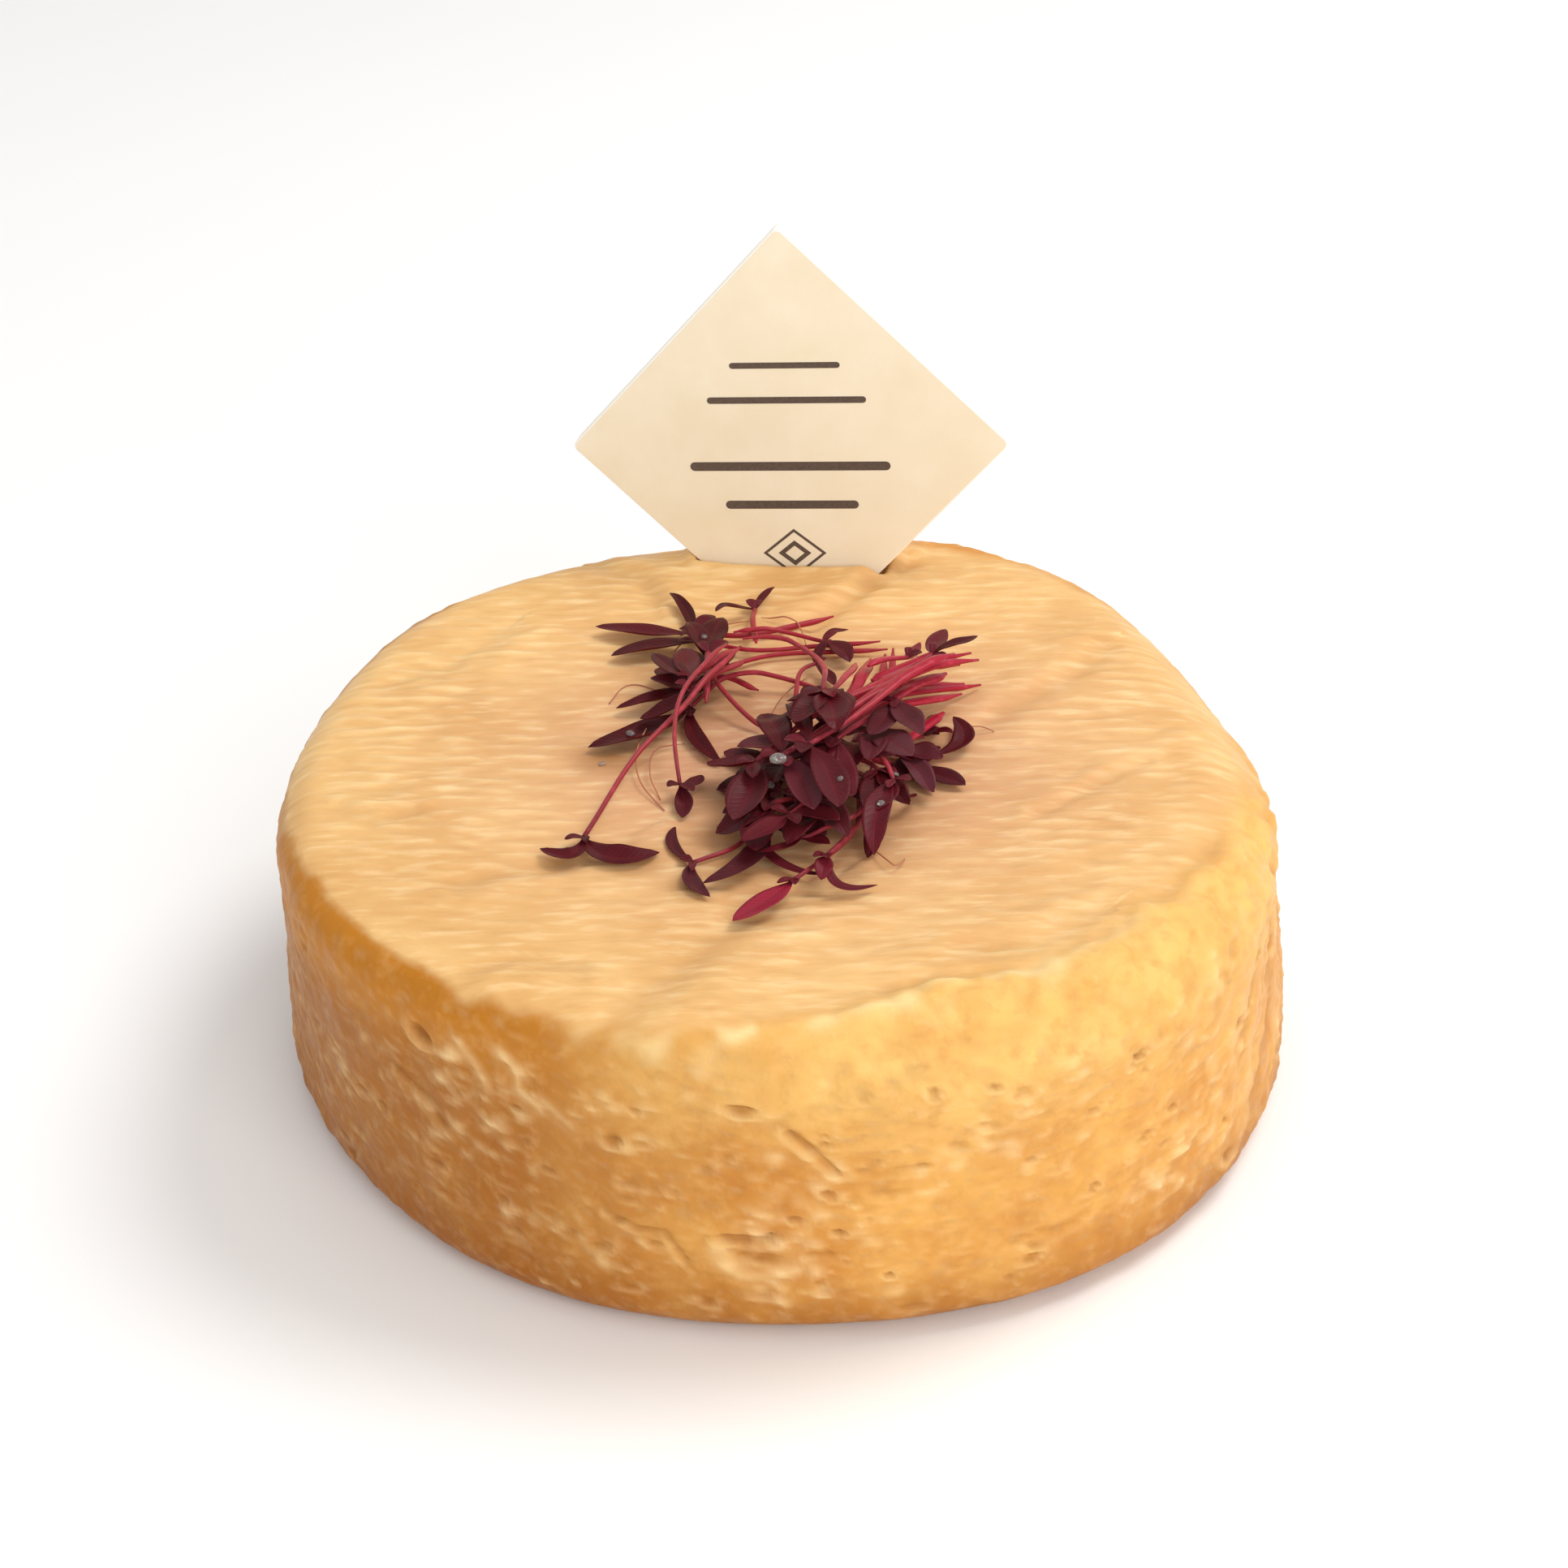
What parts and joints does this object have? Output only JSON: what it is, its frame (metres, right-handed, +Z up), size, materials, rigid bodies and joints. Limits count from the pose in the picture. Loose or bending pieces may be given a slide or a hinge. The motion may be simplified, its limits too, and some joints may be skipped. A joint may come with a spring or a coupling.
{
  "type": "cheese wheel",
  "caption": "Small washed-rind cheese wheel, uneven and soft-edged, with a blank square card standing in its top and a garnish of red seedlings.",
  "frame": {"origin": "centre of the wheel's flat base", "axes": "+Z up through the wheel, the card near the +Y edge, the front towards -Y"},
  "size_m": [0.1536, 0.1509, 0.1089],
  "materials": {
    "rind": "moist washed cheese rind, wrinkled and slightly glossy",
    "card": "uncoated cream card with plain printed rules",
    "seedling": "satin dark red leaves on crimson stems"
  },
  "bodies": {
    "root": {"cheese_wheel": "rind", "label_card": "card", "seedling_01": "seedling", "seedling_02": "seedling", "seedling_03": "seedling", "seedling_04": "seedling", "seedling_05": "seedling", "seedling_06": "seedling", "seedling_07": "seedling", "seedling_08": "seedling", "seedling_09": "seedling", "seedling_10": "seedling", "seedling_11": "seedling", "seedling_12": "seedling", "seedling_13": "seedling", "seedling_14": "seedling", "seedling_15": "seedling", "seedling_16": "seedling", "seedling_17": "seedling", "seedling_18": "seedling", "seedling_19": "seedling", "seedling_20": "seedling", "seedling_21": "seedling", "seedling_22": "seedling", "seedling_23": "seedling", "seedling_24": "seedling", "seedling_25": "seedling", "seedling_26": "seedling", "seedling_27": "seedling", "seedling_28": "seedling", "seedling_29": "seedling", "seedling_30": "seedling", "seedling_31": "seedling", "seedling_32": "seedling", "seedling_33": "seedling", "seedling_34": "seedling", "seedling_35": "seedling", "seedling_36": "seedling", "seedling_37": "seedling", "seedling_38": "seedling", "seedling_39": "seedling", "seedling_40": "seedling", "seedling_41": "seedling", "seedling_42": "seedling", "seedling_43": "seedling", "seedling_44": "seedling", "seedling_45": "seedling", "seedling_46": "seedling", "seedling_47": "seedling"}
  },
  "joints": []
}
